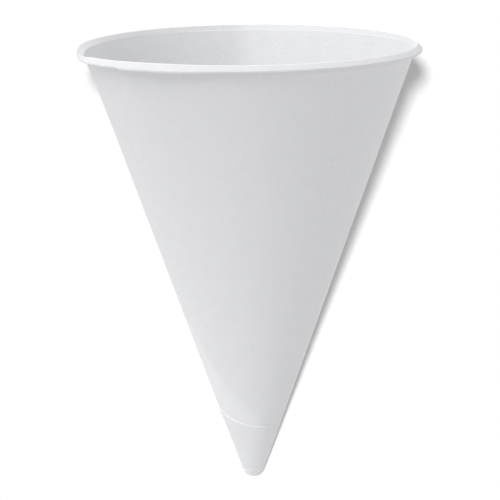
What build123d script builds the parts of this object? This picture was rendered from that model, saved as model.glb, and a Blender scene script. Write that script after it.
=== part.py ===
"""Cone paper cup: one sheet wound into a cone, closed at the tip and rolled over at the rim.

The cup lies on its side, on the rolled rim and the tip, as it comes to rest on a table.
+Y runs from the tip towards the mouth, +Z is up, and the origin is on the table under the
middle of the cup. Lengths are in millimetres and angles in degrees.

A turn is an angle round the cup's axis. Turn 0 is the line that faces straight up, turn 180
the line that faces the table, and turns grow towards -X.
"""
import os
from math import acos, acosh, asinh, atan, atan2, cos, degrees, radians, sin, sinh, tan

from build123d import *

os.makedirs("parts", exist_ok=True)

# Overall sizes of the cup.
rim_diameter = 73.0
cup_height = 92.7
tip_radius = 2.44

# The sheet, and the rim that is rolled from it.
ply_thickness = 0.2
bead_diameter = 1.84
curl_gap = 0.12
curl_step_count = 10

# The paper gives a little where the cup lies on the table, at the rim and the tip.
rest_flat = 0.2

# The outer lap: its cut edge is straight on the flat sheet, and this far from the cone's apex.
outer_lap_foot = 17.6
outer_lap_foot_turn = -26.0
outer_lap_end_turn = -39.0
lap_rim_gap = 0.3
outer_lap_section_count = 18

# The inner lap: its cut edge runs straight up the inside.
inner_lap_turn = 177.0
inner_lap_start = 13.0

# How far a lap takes to sink into the wall, as a share of the distance from the apex.
lap_feather_share = 0.14
# How much of the lap's height is left at each place along the outer edge, tip end first.
outer_lap_fade_shares = [-0.7, 0.6]
inner_lap_fade_share = -0.7

# The wall is two plies of the wound sheet.
wall_ply_count = 2
wall = wall_ply_count * ply_thickness
lap_depth = ply_thickness

# The rim's centre line, seen from the middle of the round tip.
bead_radius = bead_diameter / 2
bead_reach = rim_diameter / 2 - bead_radius
bead_rise = cup_height - bead_radius - tip_radius
bead_distance = (bead_reach**2 + bead_rise**2) ** 0.5
bead_elevation = atan2(bead_rise, bead_reach)

# The wall's outer line touches the round tip, and passes the rim's centre inside the curl.
curl_inner_radius = bead_radius - wall
cone_half_angle = acos((tip_radius + curl_inner_radius) / bead_distance) - bead_elevation
cone_sin = sin(cone_half_angle)
cone_cos = cos(cone_half_angle)

# The table touches the round tip and the rim, so the axis is tilted by this much.
axis_tilt = acos((tip_radius - bead_radius) / bead_distance) - bead_elevation
length_past_tip = bead_rise * cos(axis_tilt) + bead_reach * sin(axis_tilt) + bead_radius
tip_centre = Vector(0, (tip_radius - length_past_tip) / 2, tip_radius - rest_flat)
axis_up = Vector(0, cos(axis_tilt), sin(axis_tilt))
top_side = Vector(0, -sin(axis_tilt), cos(axis_tilt))
left_side = Vector(-1, 0, 0)

# Distances along the wall, from the apex where its outer lines would meet.
apex = tip_centre - axis_up * (tip_radius / cone_sin)
slant_to_bead = bead_rise * cone_cos + bead_reach * cone_sin + tip_radius / tan(cone_half_angle)


def outward(turn):
    """The direction square to the axis at a turn."""
    return top_side * cos(radians(turn)) + left_side * sin(radians(turn))


def around(turn):
    """The direction in which turns grow."""
    return left_side * cos(radians(turn)) - top_side * sin(radians(turn))


def along_wall(turn):
    """The direction up the wall, from the apex to the rim."""
    return axis_up * cone_cos + outward(turn) * cone_sin


def off_wall(turn):
    """The direction that stands square on the outside of the wall."""
    return outward(turn) * cone_cos - axis_up * cone_sin


def lap_section(plane, height, feather, bend):
    """A thin wedge across a lap: a cut edge at x = 0 that sinks into the wall at the far end.

    bend is how fast the wall curves away from the plane's x axis, as one over a radius.
    """
    edge_foot = (0, -lap_depth)
    edge_top = (0, height)
    middle_bend = bend * (feather / 2) ** 2 / 2
    feather_end = (feather, bend * feather**2 / 2 - lap_depth)
    top_middle = (feather / 2, (height - lap_depth) / 2 + middle_bend)
    under_middle = (feather / 2, middle_bend - lap_depth)
    with BuildSketch(plane) as section:
        with BuildLine():
            Line(edge_foot, edge_top)
            ThreePointArc(edge_top, top_middle, feather_end)
            ThreePointArc(feather_end, under_middle, edge_foot)
        make_face()
    return section.sketch


def outer_lap_section(turn, height):
    """The wedge across the outer lap at a turn.

    On the flat sheet the cut edge is a straight line, so its distance from the apex is the
    foot's distance divided by the cosine of the flat angle from the foot.
    """
    flat_angle = radians(turn - outer_lap_foot_turn) * cone_sin
    slant = outer_lap_foot / cos(flat_angle)
    across = around(turn) * sin(flat_angle) - along_wall(turn) * cos(flat_angle)
    normal = off_wall(turn)
    plane = Plane(origin=apex + along_wall(turn) * slant, x_dir=across, z_dir=across.cross(normal))
    bend = -sin(flat_angle) ** 2 / (slant * tan(cone_half_angle))
    return lap_section(plane, height, slant * lap_feather_share, bend)


def inner_lap_section(slant, height):
    """The wedge across the inner lap, at a distance from the apex along the wall."""
    across = -around(inner_lap_turn)
    normal = -off_wall(inner_lap_turn)
    on_inside = apex + along_wall(inner_lap_turn) * slant + normal * wall
    plane = Plane(origin=on_inside, x_dir=across, z_dir=across.cross(normal))
    bend = 1 / (slant * tan(cone_half_angle))
    return lap_section(plane, height, slant * lap_feather_share, bend)


# The places of the outer lap's sections, from its loose end up to the rim. Even steps of the
# hyperbolic angle keep them close both round the tip and up the side.
lap_top_slant = slant_to_bead - bead_radius - lap_rim_gap
lap_end_flat_angle = radians(outer_lap_end_turn - outer_lap_foot_turn) * cone_sin
lap_end_step = asinh(tan(lap_end_flat_angle))
lap_top_step = acosh(lap_top_slant / outer_lap_foot)
outer_lap_turns = []
for i in range(outer_lap_section_count):
    step = lap_end_step + (lap_top_step - lap_end_step) * i / (outer_lap_section_count - 1)
    outer_lap_turns.append(outer_lap_foot_turn + degrees(atan(sinh(step))) / cone_sin)
full_height_count = outer_lap_section_count - len(outer_lap_fade_shares)
outer_lap_heights = [ply_thickness * share for share in outer_lap_fade_shares]
outer_lap_heights += [ply_thickness] * full_height_count

# The wall's section: x is the distance from the axis, and y the height over the tip's middle.
section_plane = Plane(origin=tip_centre, x_dir=left_side, z_dir=left_side.cross(axis_up))
inner_tip_radius = tip_radius - wall
bead_centre = Vector(bead_reach, bead_rise)
curl_turn = 360 - degrees(acos((curl_inner_radius - curl_gap) / bead_radius))


def curl_face(radius):
    """One face of the rolled sheet: short straight runs round the rim's centre, up to the cut edge."""
    wall_direction = Vector(-cone_cos, cone_sin)
    turns = [-curl_turn * i / curl_step_count for i in range(curl_step_count + 1)]
    return Polyline([bead_centre + wall_direction.rotate(Axis.Z, turn) * radius for turn in turns])


with BuildPart() as cup:
    with BuildSketch(section_plane):
        with BuildLine():
            tip_outside = CenterArc((0, 0), tip_radius, -90, 90 - degrees(cone_half_angle))
            tip_inside = CenterArc((0, 0), inner_tip_radius, -90, 90 - degrees(cone_half_angle))
            curl_inside = curl_face(curl_inner_radius)
            curl_outside = curl_face(bead_radius)
            Line(tip_inside @ 0, tip_outside @ 0)
            Line(tip_outside @ 1, curl_inside @ 0)
            Line(curl_inside @ 1, curl_outside @ 1)
            Line(curl_outside @ 0, tip_inside @ 1)
        make_face()
    revolve(axis=Axis(tip_centre, axis_up))
    loft([outer_lap_section(turn, height) for turn, height in zip(outer_lap_turns, outer_lap_heights)])
    loft(
        [
            inner_lap_section(inner_lap_start, ply_thickness * inner_lap_fade_share),
            inner_lap_section(inner_lap_start / (1 - lap_feather_share), ply_thickness),
            inner_lap_section(slant_to_bead, ply_thickness),
        ],
        ruled=True,
    )
    split(bisect_by=Plane.XY, keep=Keep.TOP)

cup.part.label = "cup"
export_step(cup.part, "parts/cup.step")

print(f"cone half angle {degrees(cone_half_angle):.2f}, axis tilt {degrees(axis_tilt):.2f}")
print(f"solids {len(cup.part.solids())}, volume {cup.part.volume:.1f}, box {cup.part.bounding_box()}")
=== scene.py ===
"""The looks of a cone paper cup: one wound sheet of white paper, lying on a plain white floor."""

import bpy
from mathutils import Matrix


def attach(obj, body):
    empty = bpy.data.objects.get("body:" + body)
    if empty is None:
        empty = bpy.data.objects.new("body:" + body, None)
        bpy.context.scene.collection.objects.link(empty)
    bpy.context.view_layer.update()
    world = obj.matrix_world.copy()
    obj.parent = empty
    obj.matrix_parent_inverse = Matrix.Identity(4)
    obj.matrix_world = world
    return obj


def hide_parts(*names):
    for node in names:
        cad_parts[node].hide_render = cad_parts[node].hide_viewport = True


bl_info = {
    "name": "Cone paper cup",
    "version": (1, 0, 0),
    "blender": (4, 5, 0),
    "location": "3D View > Sidebar > Paper cup",
    "description": "Builds a wound paper cone with a rolled rim, and a plain white stage for it",
    "category": "Add Mesh",
}

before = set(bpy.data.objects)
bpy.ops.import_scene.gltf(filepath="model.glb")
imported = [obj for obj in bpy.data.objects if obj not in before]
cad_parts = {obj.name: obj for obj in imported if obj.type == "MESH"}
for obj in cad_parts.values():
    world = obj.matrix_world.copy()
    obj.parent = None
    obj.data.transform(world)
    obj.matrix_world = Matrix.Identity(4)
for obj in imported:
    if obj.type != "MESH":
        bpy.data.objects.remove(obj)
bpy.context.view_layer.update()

from math import acos, atan2, cos, pi, radians, sin, sqrt, tan
from types import SimpleNamespace

import bpy
import numpy as np
from bpy.props import FloatProperty, FloatVectorProperty, IntProperty, PointerProperty
from mathutils import Matrix, Vector

MM = 0.001
WALL_PLY_COUNT = 2

# Steps and rows of the mesh along its profile.
TIP_STEPS = 32
LOW_WALL_STEPS = 32
HIGH_WALL_STEPS = 56
ROLL_LINE_STEPS = 8
ROLL_ARC_STEPS = 9
INNER_WALL_ROWS = 34
INNER_TIP_STEPS = 10

# A span says where a form starts, how far it takes to rise, where it ends and how far it takes to sink.
# Round the cup, spans are degrees of turn. Turn 0 faces straight up, and turns grow to the left.
RIDGE_TURNS = (-40, 30, 95, 20)
TIP_CREASE_TURNS = (10, 30, 85, 30)
ROLL_STEP_TURNS = (6, 22, 47, 2.5)
CREST_LEAN_TURNS = (62, 24, 96, 36)
CREST_SINK_TURNS = (62, 24, 84, 24)
# Up the wall, spans are distances from the cone's apex, and across the ridge from the ridge's line.
RIDGE_UP_WALL = (15 * MM, 4 * MM, 32 * MM, 30 * MM)
RIDGE_ACROSS = (-0.8 * MM, 1.6 * MM, 2 * MM, 9 * MM)
WAVES_UP_WALL = (20 * MM, 30 * MM, 85 * MM, 16 * MM)

# The outer cut edge: the degrees over which it fades at its loose end and at the rim, the widest flat
# angle in radians that its line is worked out for, the share of its distance from the apex over which the
# lap sinks below it, and the distance from the tip over which the lap rises.
LAP_END_FADE = 14
LAP_RIM_FADE = 1.5
LAP_FLAT_LIMIT = 1.4
LAP_SINK_SHARE = 0.3
LAP_TIP_RISE = 6 * MM
# Rows beside the cut edge: the distance from it, and the weight there of its paler colour, partly raw
# fibres and partly a painted highlight where the edge catches the light.
ROWS_BELOW_EDGE = ((0.3 * MM, 0.0), (0.13 * MM, 0.8), (0.0, 1.0))
ROWS_ABOVE_EDGE = ((0.02 * MM, 0.6), (0.07 * MM, 0.0))
# Share of the ridge's painted ply light, a stand-in for light through the plies, that still shows below
# the cut edge.
TONE_SHARE_BELOW_EDGE = 0.6

# Long waves of the paper: how many round the cup, phase, twist in radians a metre, and height.
PAPER_WAVES = ((2, 0.6, 0, 0.05 * MM), (3, -1.1, 0, 0.03 * MM), (5, 0, 90, 0.02 * MM))

# Creases in the tip: the distance of each from the tip's middle, and its share of their height. Then
# their width, how far they sway up and down the tip, and the phase of that sine in radians.
TIP_CREASES = ((1.6 * MM, 0.9), (2.2 * MM, 1.0), (2.8 * MM, 0.9))
TIP_CREASE_WIDTH = 0.14 * MM
TIP_CREASE_SWAY = 0.25 * MM
TIP_CREASE_PHASE = -1.1
# How much smaller than the solid's the tip is at its middle, and the degrees over which that ends.
TIP_EASE = 0.01 * MM
TIP_EASE_ANGLE = 60

# The inner cut edge, in degrees: half the width of the change in painted ply light, and how far that
# painted light reaches.
SEAM_STEP = 4
SEAM_REACH = 75
# Shares of a column's width: half the gap of the pair beside that edge, and the room left for the pair.
SEAM_PAIR_SHARE = 0.35
SEAM_ROOM_SHARE = 0.6

# Sags of the rim: the turn of the middle and the width of each, in degrees, and its share of the droop.
# Then the distance below the roll's middle at which they begin.
RIM_SAGS = ((76, 30, 1.0), (-76, 24, 0.26))
SAG_DEPTH = 6 * MM

# The painted highlight along the roll's crease at the back, in degrees: where it starts on the left and
# on the right, and the width over which it fades in.
CREASE_HIGHLIGHT_LEFT = 135
CREASE_HIGHLIGHT_RIGHT = 100
CREASE_HIGHLIGHT_FADE = 40
# Weight of the painted highlight on folds, the crest and the tip's creases, and the share of the crest's
# radius on either side that has it.
FOLD_HIGHLIGHT = 0.9
CREST_HIGHLIGHT_SHARE = 1.2
# How far out of and below its widest place the brow's corner lies, in shares of its arc's radius.
BROW_CORNER_SHARES = (1.25, 0.6)
# The roll's hidden inside: its size as a share of the outside's, and the outside's rows that it follows.
HOLLOW_SHARE = 0.55
HOLLOW_ROWS = slice(-5, None, -2)
# How much lower the wall's hidden top edge ends where the crest leans out.
WALL_TOP_DROP = 0.6 * MM

# Inside the wall: the first row below the crease, how far the crease's forms reach down, and where the
# inner lap and its painted ply light start and how far they take to rise.
INNER_FIRST_ROW = 0.1 * MM
CREASE_REACH = 3 * MM
INNER_LAP_START = 10 * MM
INNER_LAP_RISE = 8 * MM
INNER_TONE_RISE = 20 * MM

# Levels of the summed noise that the paper's darkest and palest grain come from.
GRAIN_LEVELS = (0.5, 1.3)
# Edges of the mesh that bend by more than this stay sharp.
SHARP_ANGLE = radians(40)

# Lamps of the cup: place, width of the square, and the name of the stage's setting of the power.
CUP_LAMPS = {
    "mouth_lamp": ((-0.76, 0.66, 1.18), 0.7, "mouth"),
    "back_lamp": ((-0.5, 0.8, 0.45), 0.5, "back"),
    "fill_lamp": ((0.6, 0, 0.6), 0.5, "fill"),
    "tip_lamp": ((-0.1, -0.24, 0.11), 0.12, "tip"),
}
# Direction to the sun that casts the shadow, along the camera's right, up and back.
SHADOW_SUN_DIRECTION = (-0.06, 0.1, 1)
# The floor: half its width, and how far below the cup it lies.
FLOOR_HALF_WIDTH = 3.0
FLOOR_DROP = 0.05 * MM
# Width of the camera's sensor in millimetres.
SENSOR_WIDTH = 36


def length(name, description, default):
    """A size in metres that a user can change."""
    return FloatProperty(
        name=name, description=description, default=default, min=0, precision=5, unit="LENGTH"
    )


def angle(name, description, default):
    """An angle, given in degrees and kept in radians."""
    return FloatProperty(name=name, description=description, default=radians(default), unit="ROTATION")


def number(name, description, default):
    """A plain number, such as a share or a strength."""
    return FloatProperty(name=name, description=description, default=default, precision=3)


def colour(name, description, default):
    """A colour in linear light."""
    return FloatVectorProperty(
        name=name, description=description, default=default, subtype="COLOR", size=3, min=0, max=1
    )


class CupSizes(bpy.types.PropertyGroup):
    """Sizes of the cup. The main ones are those of the solid that it replaces."""

    rim_diameter: length("Rim diameter", "Width over the rolled rim", 73.0 * MM)
    cup_height: length("Height", "From the tip to the top of the rim, along the axis", 92.7 * MM)
    tip_radius: length("Tip radius", "Rounding of the closed tip", 2.44 * MM)
    tip_crease_height: length("Tip crease height", "Height of the small creases in the tip", 0.13 * MM)
    ply: length("Ply", "Thickness of the paper, which is double in the wall", 0.2 * MM)
    rest_flat: length("Rest flat", "How far the paper gives where the cup lies on the floor", 0.2 * MM)
    lap_foot: length(
        "Lap foot", "Distance of the straight cut edge from the apex, on the flat sheet", 17.6 * MM
    )
    lap_foot_turn: angle("Lap foot turn", "Turn at which the cut edge is nearest to the apex", -26)
    lap_end_turn: angle("Lap end turn", "Turn at which the cut edge fades into the wall", -39)
    lap_rim_gap: length(
        "Lap rim gap", "Distance along the wall of the cut edge's top end from the roll's middle", 2.024 * MM
    )
    lap_height: length("Lap height", "Step of the outer cut edge, pressed and glued down", 0.14 * MM)
    ridge_foot: length(
        "Ridge foot", "Distance from the apex of the inner ply's edge that shows through", 13.8 * MM
    )
    ridge_foot_turn: angle("Ridge foot turn", "Turn at which that edge is nearest to the apex", -138)
    ridge_height: length("Ridge height", "How far that edge lifts the wall", 0.08 * MM)
    inner_lap_turn: angle("Inner lap turn", "Turn of the straight cut edge inside", 177)
    inner_lap_height: length(
        "Inner lap height", "Step of the inner cut edge, pressed and glued down", 0.06 * MM
    )
    bead_diameter: length("Rim roll", "Thickness of the rolled rim", 1.84 * MM)
    bead_ease: length("Roll ease", "How much smaller than the solid's the roll is, at its outside", 0.03 * MM)
    curl_gap: length("Roll gap", "Space between the rolled edge and the wall", 0.12 * MM)
    rim_droop: length("Rim droop", "How far the rim sags on the left, towards the tip", 0.8 * MM)
    crease_depth: length(
        "Crease depth", "Distance below the roll's middle of the crease where it starts", 0.57 * MM
    )
    crease_flare: length("Crease flare", "How far the roll's crease moves out at the left end", 0.32 * MM)
    crest_inset: length("Crest inset", "How far inside the roll's middle its crest is", 0.38 * MM)
    crest_rise: length("Crest rise", "Height of the crest over the roll's middle", 0.93 * MM)
    crest_radius: length("Crest radius", "Rounding of the crest, where the sheet is folded over", 0.1 * MM)
    crest_lean: length("Crest lean", "How far the roll's crest leans out at the left end", 1.15 * MM)
    crest_sink: length("Crest sink", "How far the roll's crest sinks at the left end", 0.5 * MM)
    brow_drop: length("Brow drop", "Depth below the roll's middle of its widest place", 0.35 * MM)
    brow_radius: length("Brow radius", "Rounding of the roll's widest place", 0.3 * MM)
    roll_end_depth: length("Roll end", "Depth below the roll's middle of the rolled edge", 0.95 * MM)
    roll_step_share: number(
        "Roll step", "Share by which the roll is thicker up to the outer ply's corner", 0.2
    )
    columns: IntProperty(
        name="Columns", description="Mesh columns round the cup", default=360, min=60, max=720
    )


class PaperLook(bpy.types.PropertyGroup):
    """Colours and grain of the paper."""

    paper: colour("Paper", "The paper's white", (0.745, 0.749, 0.764))
    # Paler colour: partly the raw fibres of cut edges, partly a painted highlight on cut edges, folds, the
    # crest and the tip's creases.
    raw_edge: colour("Raw edge", "The lighter fibres of a cut edge or a fold", (0.90, 0.90, 0.90))
    cloud_scale: number("Cloud scale", "How fine the clouds in the paper are, to a metre", 260)
    cloud_detail: number("Cloud detail", "Finer layers in the clouds", 3)
    fibre_scale: number("Fibre scale", "How fine the fibres are, to a metre", 1500)
    fibre_detail: number("Fibre detail", "Finer layers in the fibres", 2)
    fibre_share: number("Fibre share", "Weight of the fibres beside the clouds", 0.8)
    grain: number("Grain", "Share by which the fibres lighten and darken the paper", 0.015)
    grain_height: length("Grain height", "Height of the grain on the surface", 0.22 * MM)
    grain_strength: number("Grain strength", "Share of that height that the light sees", 0.7)
    # Strength of the painted ply light: paler and greyer tones that stand in for light through the thin
    # paper.
    ply_shade: number("Ply shade", "Share by which the plies under the surface tone it", 0.05)
    roughness: number("Roughness", "Roughness of the uncoated paper", 0.72)
    gloss: number("Gloss", "Level of the paper's reflection", 0.3)


class StageLook(bpy.types.PropertyGroup):
    """The floor, the light and the camera."""

    floor: colour("Floor", "Colour of the floor", (0.7, 0.7, 0.7))
    floor_lift: number("Floor lift", "White that the camera sees on top of the lit floor", 0.12)
    sky: number("Sky", "Strength of the even light from all round", 0.39)
    mouth: number("Mouth lamp", "Power of the broad high lamp on the left, in watts", 8.3)
    back: number("Back lamp", "Power of the soft lamp that looks into the mouth, in watts", 4.15)
    fill: number("Fill lamp", "Power of the soft lamp on the right, in watts", 1.55)
    tip: number("Tip lamp", "Power of the small low lamp in front of the tip, in watts", 0.215)
    shadow: number(
        "Shadow lamp", "Strength of the soft sun beside the camera that lights only the floor", 2.86
    )
    shadow_softness: angle("Shadow softness", "Width of that sun as the floor sees it", 6.3)
    camera_distance: length("Camera distance", "From the camera to its aim", 1.0)
    camera_lens: number("Camera lens", "Focal length in millimetres on a 36 mm sensor", 339.87)
    camera_rise: angle("Camera rise", "Camera's angle over the plane of the rim", 9.53)
    camera_roll: angle("Camera roll", "Camera's roll about its view", -0.58)
    aim_up: length(
        "Aim", "Distance of the camera's aim from the middle of the tip, along the axis", 46.3 * MM
    )
    aim_right: FloatProperty(
        name="Aim right",
        description="Distance of the aim to the right of the axis",
        default=-0.286 * MM,
        precision=5,
        unit="LENGTH",
    )


def cup_shape(sizes):
    """The cup's cone and its resting place, worked out from its sizes.

    The wall's outer line touches the round tip and passes the rim's centre inside the roll, and the
    floor touches the tip and the rim, so both are lines that touch two circles.
    """
    shape = SimpleNamespace(wall=WALL_PLY_COUNT * sizes.ply, tip_radius=sizes.tip_radius)
    shape.bead_radius = sizes.bead_diameter / 2
    shape.bead_reach = sizes.rim_diameter / 2 - shape.bead_radius
    shape.bead_rise = sizes.cup_height - shape.bead_radius - shape.tip_radius
    bead_distance = sqrt(shape.bead_reach**2 + shape.bead_rise**2)
    bead_elevation = atan2(shape.bead_rise, shape.bead_reach)
    shape.curl_radius = shape.bead_radius - shape.wall
    shape.half_angle = acos((shape.tip_radius + shape.curl_radius) / bead_distance) - bead_elevation
    tilt = acos((shape.tip_radius - shape.bead_radius) / bead_distance) - bead_elevation
    past_tip = shape.bead_rise * cos(tilt) + shape.bead_reach * sin(tilt) + shape.bead_radius
    shape.tip_centre = np.array((0, (shape.tip_radius - past_tip) / 2, shape.tip_radius - sizes.rest_flat))
    shape.axis_up = np.array((0, cos(tilt), sin(tilt)))
    shape.top_side = np.array((0, -sin(tilt), cos(tilt)))
    shape.left_side = np.array((-1.0, 0, 0))
    shape.apex = shape.tip_centre - shape.axis_up * (shape.tip_radius / sin(shape.half_angle))
    shape.slant_to_tip = shape.tip_radius / tan(shape.half_angle)
    past_tip_slant = shape.bead_rise * cos(shape.half_angle) + shape.bead_reach * sin(shape.half_angle)
    shape.slant_to_bead = past_tip_slant + shape.slant_to_tip
    return shape


def outward(shape, turn):
    """Directions square to the axis: the turn's cosine along the top side plus its sine along the left."""
    return np.cos(turn)[..., None] * shape.top_side + np.sin(turn)[..., None] * shape.left_side


def wall_points(shape, turn, slant, lift):
    """Points on the cone: from the apex so far up the wall's line, and so far square off its outside."""
    turn, slant, lift = np.broadcast_arrays(turn, slant, lift)
    side = outward(shape, turn)
    up_wall = cos(shape.half_angle) * shape.axis_up + sin(shape.half_angle) * side
    off_wall = cos(shape.half_angle) * side - sin(shape.half_angle) * shape.axis_up
    return shape.apex + slant[..., None] * up_wall + lift[..., None] * off_wall


def ring_points(shape, turn, reach, rise):
    """Points round the axis: from the tip's middle so far outwards at the turn, and so far up the axis."""
    turn, reach, rise = np.broadcast_arrays(turn, reach, rise)
    return shape.tip_centre + reach[..., None] * outward(shape, turn) + rise[..., None] * shape.axis_up


def ramp(value, start, width):
    """An S-shaped curve from 0 at the start to 1 one width past it, and level on both sides.

    It is three times the square of the share of the width, less twice its cube.
    """
    share = np.clip((value - start) / width, 0, 1)
    return share * share * (3 - 2 * share)


def plateau(value, span):
    """A ramp up from the span's start, times a ramp down from its end."""
    start, rise, end, sink = span
    return ramp(value, start, rise) * (1 - ramp(value, end, sink))


def bell(value, middle, width):
    """A bell curve: e to the minus square of the distance from the middle, counted in widths."""
    return np.exp(-(((value - middle) / width) ** 2))


def half_turns(turn):
    """The same turns, counted from minus to plus half a turn."""
    return np.mod(turn + pi, 2 * pi) - pi


def turned_degrees(turn):
    """The same turns in degrees, from -180 to 180."""
    return np.degrees(half_turns(turn))


def flat_distance(shape, turn, slant, foot, foot_turn):
    """Distance of a wall point from a straight line on the unrolled sheet, positive on the apex's side.

    Unrolled, a turn shrinks to its product with the sine of the half angle, and the line is the one
    whose nearest point to the apex is the foot. So the distance is the foot's own from the apex, less
    the point's times the cosine of the flat angle between them.
    """
    return foot - slant * np.cos((turn - foot_turn) * sin(shape.half_angle))


def lap_slant(shape, sizes, turn):
    """How far up the wall the outer cut edge is at each turn, and the share of its height there.

    Up to the rim it is a straight line on the unrolled sheet: the foot's distance over the cosine of the
    flat angle from the foot. Behind, where there is no edge, the row comes back down from the rim to the
    loose end on an S-shaped curve, with no height.
    """
    top = shape.slant_to_bead - sizes.lap_rim_gap
    top_turn = sizes.lap_foot_turn + acos(sizes.lap_foot / top) / sin(shape.half_angle)
    start = sizes.lap_end_turn
    along = np.mod(turn - start, 2 * pi) + start
    flat = (along - sizes.lap_foot_turn) * sin(shape.half_angle)
    flat = np.clip(flat, -LAP_FLAT_LIMIT, LAP_FLAT_LIMIT)
    line = np.minimum(sizes.lap_foot / np.cos(flat), top)
    loose_end = sizes.lap_foot / cos((start - sizes.lap_foot_turn) * sin(shape.half_angle))
    back = top + (loose_end - top) * ramp(along, top_turn, start + 2 * pi - top_turn)
    slant = np.where(along <= top_turn, line, back)
    fade_in = ramp(along, start, radians(LAP_END_FADE))
    fade_out = 1 - ramp(along, top_turn, radians(LAP_RIM_FADE))
    return slant, fade_in * fade_out


def ridge_share(shape, sizes, turn, slant):
    """Share of the soft step that the inner ply's cut edge makes in the outer wall.

    It rises from 0 to 1 across that edge, a straight line on the unrolled sheet, and sinks again
    towards the tip. It shows only on the side and height where the outer ply is pressed on it.
    """
    from_line = flat_distance(shape, turn, slant, sizes.ridge_foot, sizes.ridge_foot_turn)
    shown = plateau(slant, RIDGE_UP_WALL) * plateau(turned_degrees(turn), RIDGE_TURNS)
    return plateau(from_line, RIDGE_ACROSS) * shown


def paper_waves(turn, slant):
    """Long shallow waves of thin paper, the sum of three cosines, strongest halfway up the wall."""
    waves = sum(
        height * np.cos(count * turn + phase + twist * slant) for count, phase, twist, height in PAPER_WAVES
    )
    return waves * plateau(slant, WAVES_UP_WALL)


def wall_lift(shape, sizes, turn, slant):
    """How far the ridge and the waves lift the wall."""
    return sizes.ridge_height * ridge_share(shape, sizes, turn, slant) + paper_waves(turn, slant)


def tip_creases(turn, along):
    """Share of the crease height on the tip: short creases across its left, each a bell curve up the tip."""
    sway = TIP_CREASE_SWAY * np.sin(half_turns(turn) + TIP_CREASE_PHASE)
    share = sum(height * bell(along, place + sway, TIP_CREASE_WIDTH) for place, height in TIP_CREASES)
    return share * plateau(turned_degrees(turn), TIP_CREASE_TURNS)


def seam_ply_light(sizes, turn):
    """Painted light beside the inner cut edge: greyer where three plies hold back the light from behind,
    paler where two let more of it through.

    It goes straight from -1 to 1 across the edge, and fades out on an S-shaped curve on each side.
    """
    past = turned_degrees(turn - sizes.inner_lap_turn)
    return np.clip(past / SEAM_STEP, -1, 1) * (1 - ramp(np.abs(past), 0, SEAM_REACH))


def rounded_runs(corners, radii, line_steps, arc_steps):
    """Straight runs between corners, where each inner corner is an arc that touches both of its runs.

    The arc's centre lies on the corner's bisector, at its radius over the sine of half the angle.
    """
    parts = [corners[:1]]
    shares = np.linspace(0, 1, line_steps + 1)[1:-1, None]
    for before, corner, after, radius in zip(corners, corners[1:], corners[2:], radii):
        to_before = (before - corner) / np.linalg.norm(before - corner)
        to_after = (after - corner) / np.linalg.norm(after - corner)
        half = acos(to_before @ to_after) / 2
        centre = corner + (to_before + to_after) / (2 * cos(half)) * radius / sin(half)
        start = corner + to_before * radius / tan(half)
        bend = np.sign(to_after[0] * to_before[1] - to_after[1] * to_before[0])
        turns = bend * np.linspace(0, pi - 2 * half, arc_steps)
        spoke = start - centre
        across = np.array((-spoke[1], spoke[0]))
        arc = centre + np.cos(turns)[:, None] * spoke + np.sin(turns)[:, None] * across
        parts += [parts[-1][-1] + (start - parts[-1][-1]) * shares, arc]
    parts += [parts[-1][-1] + (corners[-1] - parts[-1][-1]) * shares, corners[-1:]]
    return np.concatenate(parts)


def roll_section(shape, sizes):
    """The outside of the rolled rim, as distances from the axis and heights, both from the roll's middle.

    It starts at the rolled edge beside the wall, runs out to the brow, its widest place, turns up round
    it, slopes straight in to the crest, and runs straight down to the crease at the inside of the wall.
    """
    up_wall = np.array((sin(shape.half_angle), cos(shape.half_angle)))
    inward = np.array((-cos(shape.half_angle), sin(shape.half_angle)))
    end = inward * (shape.curl_radius - sizes.curl_gap) - up_wall * sizes.roll_end_depth
    out_share, down_share = BROW_CORNER_SHARES
    brow_reach = shape.bead_radius - sizes.bead_ease + out_share * sizes.brow_radius
    brow_corner = np.array((brow_reach, -sizes.brow_drop - down_share * sizes.brow_radius))
    crest = np.array((-sizes.crest_inset, sizes.crest_rise))
    crease = inward * shape.bead_radius - up_wall * sizes.crease_depth
    corners = np.array((end, brow_corner, crest, crease))
    return rounded_runs(corners, (sizes.brow_radius, sizes.crest_radius), ROLL_LINE_STEPS, ROLL_ARC_STEPS)


def lean_share(turn):
    """Share of how far the roll's crest leans out, which it does at the left end of the mouth."""
    return plateau(turned_degrees(turn), CREST_LEAN_TURNS)


def roll_outside(shape, sizes, turn):
    """The roll's section at each turn, as distances and heights from the roll's middle.

    On the front left it is thicker, scaled from its crest, up to the step where the outer ply's corner
    ends. At the left end of the mouth its crest leans out, no further than the brow, and sinks, and its
    crease moves out with the wall. Each run between the crest and its neighbours stays straight.
    """
    section = roll_section(shape, sizes)
    past_crest = section[:, :1] > -sizes.crest_inset
    thicker = 1 + sizes.roll_step_share * plateau(turned_degrees(turn), ROLL_STEP_TURNS)
    growth = np.where(past_crest, thicker, 1)
    reach = (section[:, :1] + sizes.crest_inset) * growth - sizes.crest_inset
    rise = (section[:, 1:] - sizes.crest_rise) * growth + sizes.crest_rise
    row = np.arange(len(section))
    brow_end = ROLL_LINE_STEPS + ROLL_ARC_STEPS - 1
    crest_start = brow_end + ROLL_LINE_STEPS
    crest_end = crest_start + ROLL_ARC_STEPS - 1
    crest_share = np.interp(row, (brow_end, crest_start, crest_end, row[-1]), (0, 1, 1, 0))[:, None]
    crease_share = np.interp(row, (crest_end, row[-1]), (0, 1))[:, None]
    lean = lean_share(turn)
    sink = plateau(turned_degrees(turn), CREST_SINK_TURNS)
    leaned = reach + (sizes.crest_lean * crest_share + sizes.crease_flare * crease_share) * lean
    return np.minimum(leaned, reach.max(axis=0)), rise - sizes.crest_sink * crest_share * sink


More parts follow.
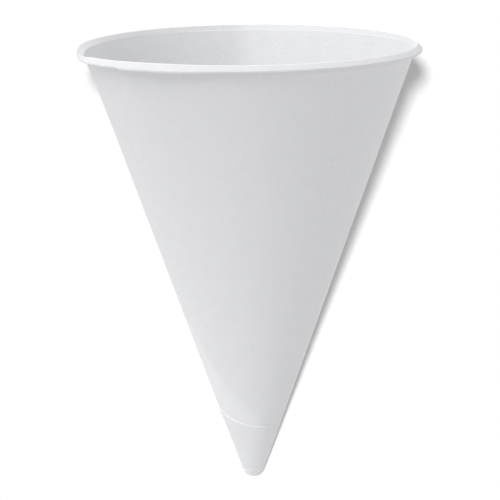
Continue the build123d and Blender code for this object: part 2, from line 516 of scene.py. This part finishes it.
def roll_highlight(shape, sizes, turn):
    """Weight of the painted highlight on the roll: along its crest, and along the back of its crease."""
    section = roll_section(shape, sizes)
    turned = turned_degrees(turn)
    at_crest = np.abs(section[:, :1] + sizes.crest_inset) < CREST_HIGHLIGHT_SHARE * sizes.crest_radius
    at_crease = np.arange(len(section))[:, None] == len(section) - 1
    on_left = ramp(turned, CREASE_HIGHLIGHT_LEFT, CREASE_HIGHLIGHT_FADE)
    on_right = ramp(-turned, CREASE_HIGHLIGHT_RIGHT, CREASE_HIGHLIGHT_FADE)
    return FOLD_HIGHLIGHT * (at_crest + at_crease * (on_left + on_right))


def rim_sag(shape, sizes, turn, slant):
    """How far the rim sags towards the tip: a deep bell curve on the left and a shallow one on the right.

    It fades out over the last millimetres of the wall below the roll.
    """
    turned = turned_degrees(turn)
    sag = sum(share * bell(turned, middle, width) for middle, width, share in RIM_SAGS)
    return sizes.rim_droop * sag * ramp(slant, shape.slant_to_bead - SAG_DEPTH, SAG_DEPTH)


def cup_columns(sizes):
    """Turns of the mesh's columns, even but for a close pair on both sides of the inner cut edge."""
    step = 2 * pi / sizes.columns
    turn = np.arange(sizes.columns) * step - pi
    seam = half_turns(sizes.inner_lap_turn)
    beside = seam + np.array((-SEAM_PAIR_SHARE, SEAM_PAIR_SHARE)) * step
    return np.sort(np.append(turn[np.abs(turn - seam) > SEAM_ROOM_SHARE * step], beside))[None, :]


def profile_rows(shape, sizes, turn, points, fibre_and_highlight_weight=0.0, tone=0.0, slant=0.0):
    """Rows of the profile, sagged as the rim sags there, with each point's weight of raw fibres and painted
    highlight, and its painted ply light.
    """
    place = points.shape[:2]
    droop = np.broadcast_to(rim_sag(shape, sizes, turn, slant), place)
    sagged = points - droop[..., None] * shape.axis_up
    return sagged, np.broadcast_to(fibre_and_highlight_weight, place), np.broadcast_to(tone, place)


def tip_rows(shape, sizes, turn):
    """The round outside of the tip: circles about the axis, lifted at the creases.

    Their distance from the axis and depth are the tip's radius times the sine and the cosine of the
    angle from its middle.
    """
    from_middle = np.linspace(0, pi / 2 - shape.half_angle, TIP_STEPS + 1)[1:, None]
    ease = TIP_EASE * (1 - ramp(from_middle, 0, radians(TIP_EASE_ANGLE)))
    creased = tip_creases(turn, from_middle * shape.tip_radius)
    radius = shape.tip_radius - ease + sizes.tip_crease_height * creased
    points = ring_points(shape, turn, radius * np.sin(from_middle), -radius * np.cos(from_middle))
    # The creases get a painted highlight, paler where they catch the light.
    return profile_rows(shape, sizes, turn, points, FOLD_HIGHLIGHT * creased)


def low_wall_rows(shape, sizes, turn):
    """The outside of the wall from the tip up to the outer cut edge, where the lap lifts it.

    Rows stand at even shares of the way to the edge, and closer beside it. The lap's lift is full at the
    edge and sinks on S-shaped curves, downwards from the edge and towards the tip.
    """
    edge, edge_share = lap_slant(shape, sizes, turn)
    below_edge, edge_fibre_and_highlight = np.array(ROWS_BELOW_EDGE).T[..., None]
    share = np.linspace(0, 1, LOW_WALL_STEPS + 1)[1:-1, None]
    slant = shape.slant_to_tip + (edge - below_edge[0] - shape.slant_to_tip) * share
    slant = np.concatenate((slant, edge - below_edge))
    raised = 1 - ramp(edge - slant, 0, LAP_SINK_SHARE * edge)
    lap = sizes.lap_height * edge_share * raised * ramp(slant, shape.slant_to_tip, LAP_TIP_RISE)
    # Painted paler at the cut edge: partly its raw fibres, partly a painted highlight where it catches the
    # light.
    fibre_and_highlight_weight = np.concatenate((np.zeros_like(share), edge_fibre_and_highlight)) * edge_share
    # The ridge's painted ply light, part of which shows below the cut edge.
    tone = TONE_SHARE_BELOW_EDGE * ridge_share(shape, sizes, turn, edge) * raised
    points = wall_points(shape, turn, slant, lap + wall_lift(shape, sizes, turn, slant))
    return profile_rows(shape, sizes, turn, points, fibre_and_highlight_weight, tone, slant)


def high_wall_rows(shape, sizes, turn):
    """The outside of the wall from the outer cut edge up to its top, hidden in the roll.

    Two rows stand close above the edge, and the others at even shares of the way to the top.
    """
    edge, edge_share = lap_slant(shape, sizes, turn)
    above_edge, edge_fibre_and_highlight = np.array(ROWS_ABOVE_EDGE).T[..., None]
    start = edge + above_edge
    share = np.linspace(0, 1, HIGH_WALL_STEPS + 1)[1:, None]
    wall_top = shape.slant_to_bead - WALL_TOP_DROP * lean_share(turn)
    slant = np.concatenate((start, start[-1] + (wall_top - start[-1]) * share))
    # Paler just above the cut edge: partly raw fibres, partly painted highlight.
    fibre_and_highlight_weight = np.concatenate((edge_fibre_and_highlight, np.zeros_like(share))) * edge_share
    # The ridge's painted ply light.
    tone = ridge_share(shape, sizes, turn, slant)
    points = wall_points(shape, turn, slant, wall_lift(shape, sizes, turn, slant))
    return profile_rows(shape, sizes, turn, points, fibre_and_highlight_weight, tone, slant)


def roll_rows(shape, sizes, turn):
    """The rolled rim: its hidden inside, a smaller copy about the section's middle, and its outside."""
    reach, rise = roll_outside(shape, sizes, turn)
    inner_reach = HOLLOW_SHARE * reach[HOLLOW_ROWS] + (1 - HOLLOW_SHARE) * reach.mean(axis=0)
    inner_rise = HOLLOW_SHARE * rise[HOLLOW_ROWS] + (1 - HOLLOW_SHARE) * rise.mean(axis=0)
    out = shape.bead_reach + np.concatenate((inner_reach, reach))
    up = shape.bead_rise + np.concatenate((inner_rise, rise))
    # Painted highlight along the crest and the back crease, and painted ply light by the inner cut edge.
    highlight = roll_highlight(shape, sizes, turn)
    fibre_and_highlight_weight = np.concatenate((np.zeros_like(inner_reach), highlight))
    points = ring_points(shape, turn, out, up)
    return profile_rows(shape, sizes, turn, points, fibre_and_highlight_weight, seam_ply_light(sizes, turn), shape.slant_to_bead)


def inner_wall_rows(shape, sizes, turn):
    """The inside of the wall from the crease down to the tip, with the step of the inner cut edge.

    The step is a ramp once round the cup, so it sinks into the wall over a whole turn. Rows stand closer
    towards the crease, and there the left end flares out with it.
    """
    crease = shape.slant_to_bead - sizes.crease_depth
    below_crease = np.geomspace(INNER_FIRST_ROW, crease - shape.slant_to_tip, INNER_WALL_ROWS)[:, None]
    slant = crease - below_crease
    past_crease = ramp(below_crease, 0, CREASE_REACH)
    lap = sizes.inner_lap_height * (1 - np.mod(sizes.inner_lap_turn - turn, 2 * pi) / (2 * pi))
    lap = lap * past_crease * ramp(slant, INNER_LAP_START, INNER_LAP_RISE)
    flare = sizes.crease_flare * cos(shape.half_angle) * lean_share(turn) * (1 - past_crease)
    lift = wall_lift(shape, sizes, turn, slant) - shape.wall - lap + flare
    # Painted ply light beside the inner cut edge, fading in up the wall.
    tone = seam_ply_light(sizes, turn) * ramp(slant, INNER_LAP_START, INNER_TONE_RISE)
    return profile_rows(shape, sizes, turn, wall_points(shape, turn, slant, lift), 0.0, tone, slant)


def inner_tip_rows(shape, sizes, turn):
    """The round inside of the tip: circles about the axis, as on its outside but smaller by the wall."""
    radius = shape.tip_radius - shape.wall
    from_middle = np.linspace(pi / 2 - shape.half_angle, 0, INNER_TIP_STEPS + 1)[1:-1, None]
    points = ring_points(shape, turn, radius * np.sin(from_middle), -radius * np.cos(from_middle))
    return profile_rows(shape, sizes, turn, points)


def cup_mesh(sizes):
    """The wound sheet as one closed surface: a profile carried round the axis.

    The profile runs from the middle of the tip's outside up the wall, over the step of the lap's cut
    edge, round the inside of the rolled rim to its cut edge, back over the outside of the roll, and
    down the inside of the wall to the tip. Rows of the outer wall follow the cut edge, so its step is
    one clean line. What would lie below the floor is pressed flat on it. Returns the vertices, the
    quads, the tip's triangles, the weight of the raw fibres and painted highlight, and the painted ply
    light.
    """
    shape = cup_shape(sizes)
    turn = cup_columns(sizes)
    makers = (tip_rows, low_wall_rows, high_wall_rows, roll_rows, inner_wall_rows, inner_tip_rows)
    points, fibre_and_highlight_weight, tone = zip(*(maker(shape, sizes, turn) for maker in makers))
    grid = np.concatenate(points)
    pole_depths = (shape.tip_radius - TIP_EASE, shape.tip_radius - shape.wall)
    poles = shape.tip_centre - np.outer(pole_depths, shape.axis_up)
    vertices = np.concatenate((grid.reshape(-1, 3), poles))
    vertices[:, 2] = np.maximum(vertices[:, 2], 0)
    raw_edge = np.append(np.concatenate(fibre_and_highlight_weight), np.zeros(len(poles)))
    ply_tone = np.append(np.concatenate(tone), np.zeros(len(poles)))
    quads, caps = tube_faces(*grid.shape[:2])
    return vertices, quads, caps, raw_edge, ply_tone


def tube_faces(row_count, column_count):
    """Quads of a grid that closes on itself round the axis, and triangles to a pole at each end."""
    index = np.arange(row_count * column_count).reshape(row_count, column_count)
    after = np.roll(index, -1, axis=1)
    quads = np.stack((index[:-1], index[1:], after[1:], after[:-1]), axis=-1).reshape(-1, 4)
    first, last = index.size, index.size + 1
    start = np.stack((np.full(column_count, first), index[0], after[0]), axis=-1)
    end = np.stack((index[-1], np.full(column_count, last), after[-1]), axis=-1)
    return quads, np.concatenate((start, end))


def make_object(name, vertices, quads, triangles):
    """A mesh object at the origin, with its place in its mesh."""
    mesh = bpy.data.meshes.new(name)
    mesh.from_pydata(vertices, [], quads.tolist() + triangles.tolist())
    mesh.validate()
    mesh.update()
    item = bpy.data.objects.new(name, mesh)
    bpy.context.scene.collection.objects.link(item)
    return item


def new_material(name):
    """A node material with only its output and a Principled shader."""
    material = bpy.data.materials.new(name)
    material.use_nodes = True
    return material, material.node_tree, material.node_tree.nodes["Principled BSDF"]


def add_noise(tree, coords, scale, detail):
    """A noise texture on Object coordinates."""
    noise = tree.nodes.new("ShaderNodeTexNoise")
    noise.inputs["Scale"].default_value = scale
    noise.inputs["Detail"].default_value = detail
    tree.links.new(coords.outputs["Object"], noise.inputs["Vector"])
    return noise


def add_attribute(tree, name):
    """The value of one of the mesh's attributes."""
    attribute = tree.nodes.new("ShaderNodeAttribute")
    attribute.attribute_name = name
    return attribute.outputs["Fac"]


def multiply_add(tree, value, factor, addend):
    """A value times a constant factor, plus another value."""
    node = tree.nodes.new("ShaderNodeMath")
    node.operation = "MULTIPLY_ADD"
    node.inputs[1].default_value = factor
    tree.links.new(value, node.inputs[0])
    tree.links.new(addend, node.inputs[2])
    return node.outputs[0]


def paper_material(look):
    """Uncoated white paper: cloudy formation, short fibres in the colour and the bump, and a paler colour
    that is partly raw fibres at cut edges and partly painted highlight on cut edges, folds, crest and
    creases.

    The painted ply light, standing in for light let through the thin paper, shades it a few hundredths
    either way.
    """
    material, tree, shader = new_material("white_paper")
    coords = tree.nodes.new("ShaderNodeTexCoord")
    clouds = add_noise(tree, coords, look.cloud_scale, look.cloud_detail)
    fibres = add_noise(tree, coords, look.fibre_scale, look.fibre_detail)
    grain = multiply_add(tree, fibres.outputs["Fac"], look.fibre_share, clouds.outputs["Fac"])
    level = tree.nodes.new("ShaderNodeMapRange")
    level.inputs["From Min"].default_value = GRAIN_LEVELS[0]
    level.inputs["From Max"].default_value = GRAIN_LEVELS[1]
    level.inputs["To Min"].default_value = 1 - look.grain
    level.inputs["To Max"].default_value = 1 + look.grain
    tree.links.new(grain, level.inputs["Value"])
    # Painted ply light: the plies' tone shades the paper, in place of light through it.
    shade = multiply_add(tree, add_attribute(tree, "ply_tone"), look.ply_shade, level.outputs["Result"])
    toned = tree.nodes.new("ShaderNodeVectorMath")
    toned.operation = "SCALE"
    toned.inputs[0].default_value = look.paper
    tree.links.new(shade, toned.inputs["Scale"])
    # Mix in the paler colour: raw fibres at cut edges, and painted highlights on edges, folds, crest and
    # creases.
    fibre_highlight_mix = tree.nodes.new("ShaderNodeMix")
    fibre_highlight_mix.data_type = "RGBA"
    tree.links.new(add_attribute(tree, "raw_edge"), fibre_highlight_mix.inputs["Factor"])
    tree.links.new(toned.outputs["Vector"], fibre_highlight_mix.inputs["A"])
    fibre_highlight_mix.inputs["B"].default_value = (*look.raw_edge, 1)
    tree.links.new(fibre_highlight_mix.outputs["Result"], shader.inputs["Base Color"])
    bump = tree.nodes.new("ShaderNodeBump")
    bump.inputs["Strength"].default_value = look.grain_strength
    bump.inputs["Distance"].default_value = look.grain_height
    tree.links.new(grain, bump.inputs["Height"])
    tree.links.new(bump.outputs["Normal"], shader.inputs["Normal"])
    shader.inputs["Roughness"].default_value = look.roughness
    shader.inputs["Specular IOR Level"].default_value = look.gloss
    return material


def floor_material(look):
    """A matte floor that keeps the shadow, lifted to white where the camera or a reflection sees it."""
    material, tree, shader = new_material("white_floor")
    shader.inputs["Base Color"].default_value = (*look.floor, 1)
    shader.inputs["Roughness"].default_value = 1
    shader.inputs["Specular IOR Level"].default_value = 0
    lift = tree.nodes.new("ShaderNodeMath")
    lift.operation = "MULTIPLY"
    lift.inputs[1].default_value = look.floor_lift
    tree.links.new(seen_directly(tree), lift.inputs[0])
    shader.inputs["Emission Color"].default_value = (1, 1, 1, 1)
    tree.links.new(lift.outputs[0], shader.inputs["Emission Strength"])
    return material


def seen_directly(tree):
    """1 for camera, glossy and transmission rays, and 0 for the rays that only light the object."""
    path = tree.nodes.new("ShaderNodeLightPath")
    total = path.outputs["Is Camera Ray"]
    for name in ("Is Glossy Ray", "Is Transmission Ray"):
        either = tree.nodes.new("ShaderNodeMath")
        either.operation = "MAXIMUM"
        tree.links.new(total, either.inputs[0])
        tree.links.new(path.outputs[name], either.inputs[1])
        total = either.outputs[0]
    return total


def white_world(strength):
    """Even light from all round, which the camera sees as plain white."""
    world = bpy.data.worlds.new("white_studio")
    world.use_nodes = True
    tree = world.node_tree
    background = tree.nodes["Background"]
    background.inputs["Color"].default_value = (1, 1, 1, 1)
    level = tree.nodes.new("ShaderNodeMapRange")
    level.inputs["To Min"].default_value = strength
    level.inputs["To Max"].default_value = 1
    tree.links.new(seen_directly(tree), level.inputs["Value"])
    tree.links.new(level.outputs["Result"], background.inputs["Strength"])
    bpy.context.scene.world = world


def turn_back(direction):
    """The turn of a lamp whose back points in a direction."""
    return direction.normalized().to_track_quat("Z", "Y").to_matrix().to_4x4()


def add_lamp(name, kind, power, place):
    """A lamp with its power, at a place given as a matrix."""
    lamp = bpy.data.objects.new(name, bpy.data.lights.new(name, kind))
    lamp.data.energy = power
    lamp.matrix_world = place
    bpy.context.scene.collection.objects.link(lamp)
    return lamp


def area_lamp(name, place, aim, width, watts):
    """A square soft lamp that looks at a point."""
    turn = turn_back(Vector(place) - Vector(aim))
    lamp = add_lamp(name, "AREA", watts, Matrix.Translation(place) @ turn)
    lamp.data.size = width
    return lamp


def sun_lamp(name, back, softness, strength):
    """A soft sun from one direction, as even on the floor far away as beside the cup."""
    lamp = add_lamp(name, "SUN", strength, turn_back(back))
    lamp.data.angle = softness
    return lamp


def light_only(lamp, receiver):
    """Keeps a lamp's light to one object, while everything still casts its shadow."""
    receivers = bpy.data.collections.new("lit_by_" + lamp.name)
    receivers.objects.link(receiver)
    lamp.light_linking.receiver_collection = receivers


def photo_camera(look, shape):
    """The photograph's view: square to the cup's axis but for a small rise, with the tip below."""
    back = Vector(cos(look.camera_rise) * shape.top_side + sin(look.camera_rise) * shape.axis_up)
    level = Vector((1, 0, 0))
    upright = back.cross(level)
    right = cos(look.camera_roll) * level + sin(look.camera_roll) * upright
    up = back.cross(right)
    aim = Vector(shape.tip_centre + look.aim_up * shape.axis_up) + look.aim_right * level
    data = bpy.data.cameras.new("photo_camera")
    data.sensor_fit = "HORIZONTAL"
    data.sensor_width = SENSOR_WIDTH
    data.lens = look.camera_lens
    camera = bpy.data.objects.new("photo_camera", data)
    turn = Matrix((right, up, back)).transposed().to_4x4()
    camera.matrix_world = Matrix.Translation(aim + back * look.camera_distance) @ turn
    bpy.context.scene.collection.objects.link(camera)
    bpy.context.scene.camera = camera
    return camera


def white_floor(look):
    """A square floor, just low enough not to cut into the cup."""
    sides = np.array([(-1, -1, 0), (1, -1, 0), (1, 1, 0), (-1, 1, 0)])
    corners = FLOOR_HALF_WIDTH * sides - np.array((0, 0, FLOOR_DROP))
    floor = make_object("floor", corners, np.array([(0, 1, 2, 3)]), np.empty((0, 3), int))
    floor.data.materials.append(floor_material(look))
    return floor


class CONECUP_OT_add_cup(bpy.types.Operator):
    """Make the wound paper cup and give it its paper"""

    bl_idname = "conecup.add_cup"
    bl_label = "Add paper cup"

    def execute(self, context):
        sizes = context.scene.conecup_sizes
        vertices, quads, caps, raw_edge, ply_tone = cup_mesh(sizes)
        cup = make_object("paper_cup", vertices, quads, caps)
        mesh = cup.data
        for name, values in (("raw_edge", raw_edge), ("ply_tone", ply_tone)):
            attribute = mesh.attributes.new(name, "FLOAT", "POINT")
            attribute.data.foreach_set("value", values.astype(np.float32))
        mesh.shade_smooth()
        mesh.set_sharp_from_angle(angle=SHARP_ANGLE)
        mesh.materials.append(paper_material(context.scene.conecup_paper))
        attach(cup, "root")
        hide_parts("cup")
        return {"FINISHED"}


class CONECUP_OT_add_stage(bpy.types.Operator):
    """Make the white floor, the soft light and the camera"""

    bl_idname = "conecup.add_stage"
    bl_label = "Add stage"

    def execute(self, context):
        look = context.scene.conecup_stage
        shape = cup_shape(context.scene.conecup_sizes)
        cup = bpy.data.objects["paper_cup"]
        floor = white_floor(look)
        white_world(look.sky)
        middle = shape.tip_centre + shape.axis_up * shape.bead_rise / 2
        for name, (place, width, setting) in CUP_LAMPS.items():
            light_only(area_lamp(name, place, middle, width, getattr(look, setting)), cup)
        camera = photo_camera(look, shape)
        to_sun = camera.matrix_world.to_3x3() @ Vector(SHADOW_SUN_DIRECTION)
        light_only(sun_lamp("shadow_lamp", to_sun, look.shadow_softness, look.shadow), floor)
        context.scene.view_settings.view_transform = "Standard"
        return {"FINISHED"}


class CONECUP_PT_panel(bpy.types.Panel):
    """Sizes, looks and the operators, in the order in which they run"""

    bl_idname = "CONECUP_PT_panel"
    bl_label = "Paper cup"
    bl_space_type = "VIEW_3D"
    bl_region_type = "UI"
    bl_category = "Paper cup"

    def draw(self, context):
        for name in GROUPS:
            group = getattr(context.scene, name)
            box = self.layout.box()
            for setting in group.__annotations__:
                box.prop(group, setting)
        for operator in OPERATORS:
            self.layout.operator(operator.bl_idname)


OPERATORS = (CONECUP_OT_add_cup, CONECUP_OT_add_stage)
GROUPS = {"conecup_sizes": CupSizes, "conecup_paper": PaperLook, "conecup_stage": StageLook}
CLASSES = (*GROUPS.values(), *OPERATORS, CONECUP_PT_panel)


def register():
    for cls in CLASSES:
        bpy.utils.register_class(cls)
    for name, group in GROUPS.items():
        setattr(bpy.types.Scene, name, PointerProperty(type=group))


def unregister():
    for name in GROUPS:
        delattr(bpy.types.Scene, name)
    for cls in reversed(CLASSES):
        bpy.utils.unregister_class(cls)


def main():
    """Builds the cup and its stage."""
    register()
    bpy.ops.conecup.add_cup()
    bpy.ops.conecup.add_stage()


if __name__ == "__main__":
    main()
